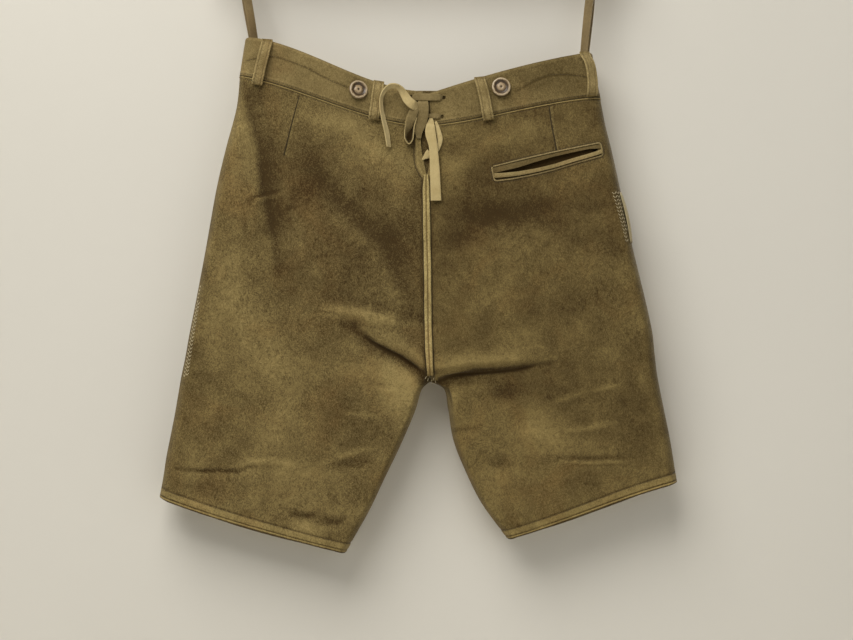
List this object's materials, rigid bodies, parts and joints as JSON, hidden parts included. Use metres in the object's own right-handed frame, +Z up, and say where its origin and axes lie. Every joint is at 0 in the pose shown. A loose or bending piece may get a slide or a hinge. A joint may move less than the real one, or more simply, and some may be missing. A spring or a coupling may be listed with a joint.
{
  "type": "lederhosen hung on a wooden rod",
  "caption": "Short suede leather breeches with a laced back waist, horn buttons, belt loops and a welted pocket, hung flat by two leather loops from a plain rod.",
  "frame": {"origin": "centre of the rod that holds the two hanging loops", "axes": "+Z up, +X to the right as seen from behind the garment, the garment's back faces -Y and its front +Y"},
  "size_m": [0.62, 0.0742, 0.7215],
  "materials": {
    "suede": "matt olive-brown suede",
    "waistband": "matt olive-brown leather, slightly worn",
    "edging": "matt, lighter olive-tan leather",
    "thong": "matt cream flesh side, olive grain side",
    "horn": "polished horn",
    "strap": "smooth brown leather",
    "rod_wood": "plain waxed beech"
  },
  "bodies": {
    "root": {"back_left": "suede", "back_right": "suede", "front_left": "suede", "front_right": "suede", "front_flap": "suede", "back_gusset": "suede", "pocket_bag": "suede", "knife_pocket": "suede", "waistband_left": "waistband", "waistband_right": "waistband", "centre_back_welt": "edging", "pocket_welt_upper": "edging", "pocket_welt_lower": "edging", "belt_loop_1": "edging", "belt_loop_2": "edging", "belt_loop_3": "edging", "belt_loop_4": "edging", "belt_loop_front_left": "edging", "belt_loop_front_right": "edging", "brace_button_left": "horn", "brace_button_right": "horn", "brace_button_front_left": "horn", "brace_button_front_right": "horn", "flap_button_left": "horn", "flap_button_right": "horn", "lace_row_top": "thong", "lace_row_low": "thong", "lace_knot": "thong", "lace_drop": "thong", "lace_teardrop": "thong", "lace_tail_left": "thong", "lace_tail_right": "thong", "lace_small_loop": "thong", "hanging_loop_left": "strap", "hanging_loop_right": "strap", "rod": "rod_wood"}
  },
  "joints": []
}
